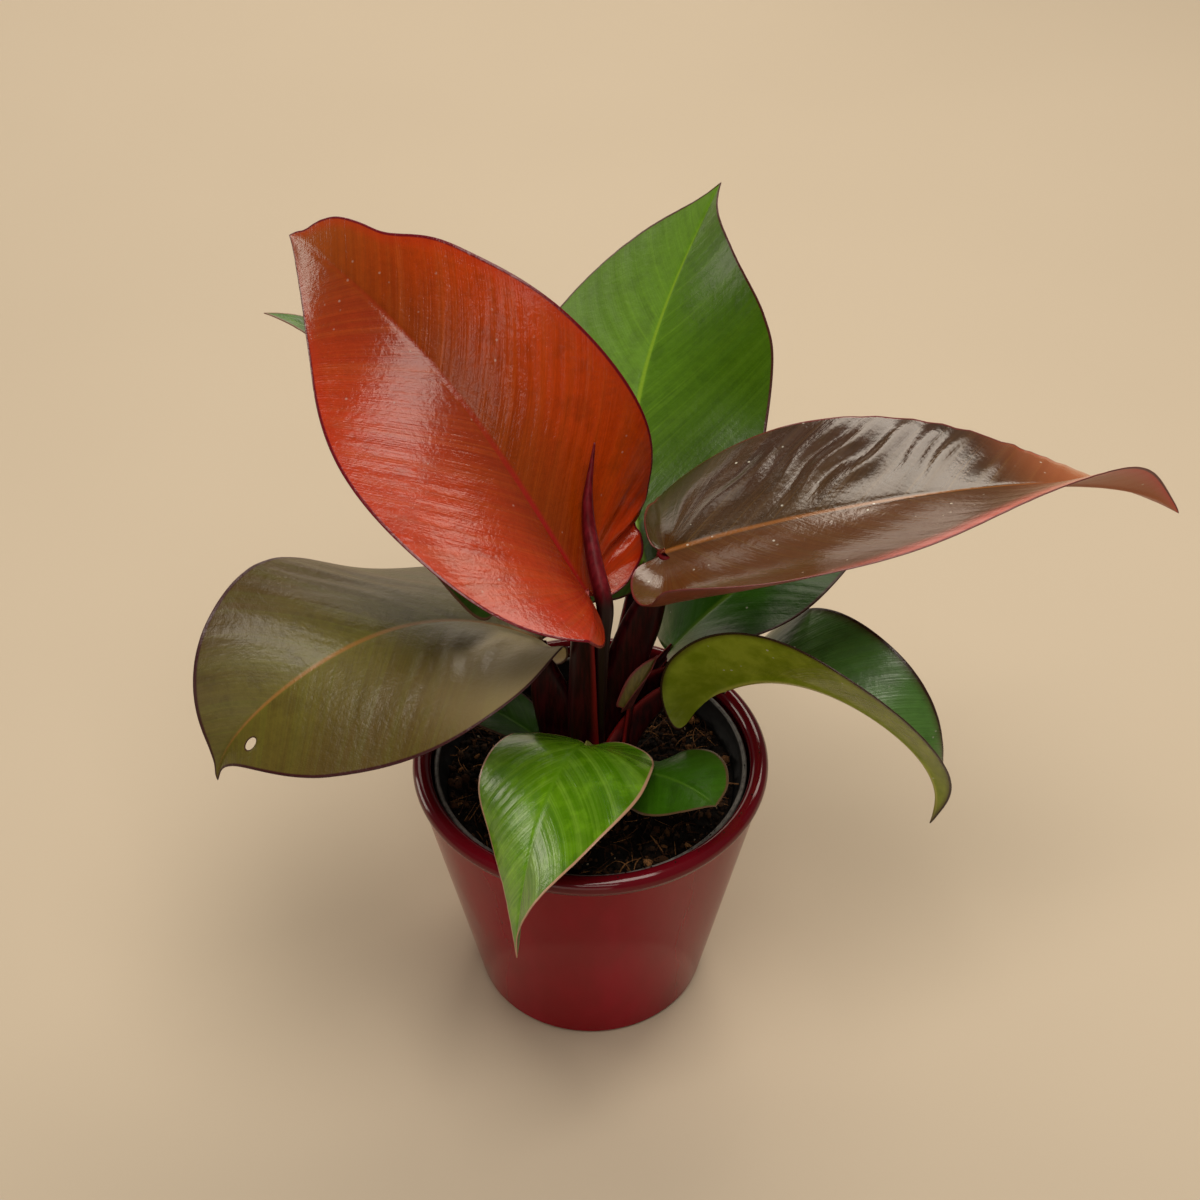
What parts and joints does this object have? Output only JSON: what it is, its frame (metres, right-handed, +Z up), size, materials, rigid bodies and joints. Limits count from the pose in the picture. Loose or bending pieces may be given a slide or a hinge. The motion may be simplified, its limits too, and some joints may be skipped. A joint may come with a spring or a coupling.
{
  "type": "potted cherry red philodendron",
  "caption": "Heart-leaved aroid with orange, bronze and green blades on dark red petioles, in a nursery pot inside a conical glazed cover pot.",
  "frame": {"origin": "centre of the cover pot's flat underside, on the surface it stands on", "axes": "+Z up the pot's axis, -Y towards the front, where the picture was taken from, +X to its right"},
  "size_m": [0.3615, 0.2602, 0.3012],
  "materials": {
    "cherry_glaze": "gloss",
    "grower_plastic": "satin",
    "potting_mix": "matte",
    "petiole": "satin",
    "leaf_orange": "satin",
    "leaf_green": "satin",
    "leaf_bright_green": "satin",
    "leaf_dark_green": "satin",
    "leaf_purple_bronze": "satin",
    "leaf_olive_bronze": "satin",
    "new_leaf": "satin",
    "sheath": "matte"
  },
  "bodies": {
    "root": {"cover_pot": "cherry_glaze", "nursery_pot": "grower_plastic", "potting_mix": "potting_mix", "stem_and_petioles": "petiole", "blade_orange": "leaf_orange", "blade_back_green": "leaf_green", "blade_bronze_right": "leaf_purple_bronze", "blade_bronze_left": "leaf_olive_bronze", "blade_back_left": "leaf_green", "blade_folded_right": "leaf_dark_green", "blade_low_right": "leaf_green", "blade_front": "leaf_bright_green", "blade_small_right": "leaf_green", "blade_small_left": "leaf_green", "rolled_new_leaf": "new_leaf", "bud_sheath": "sheath"}
  },
  "joints": []
}
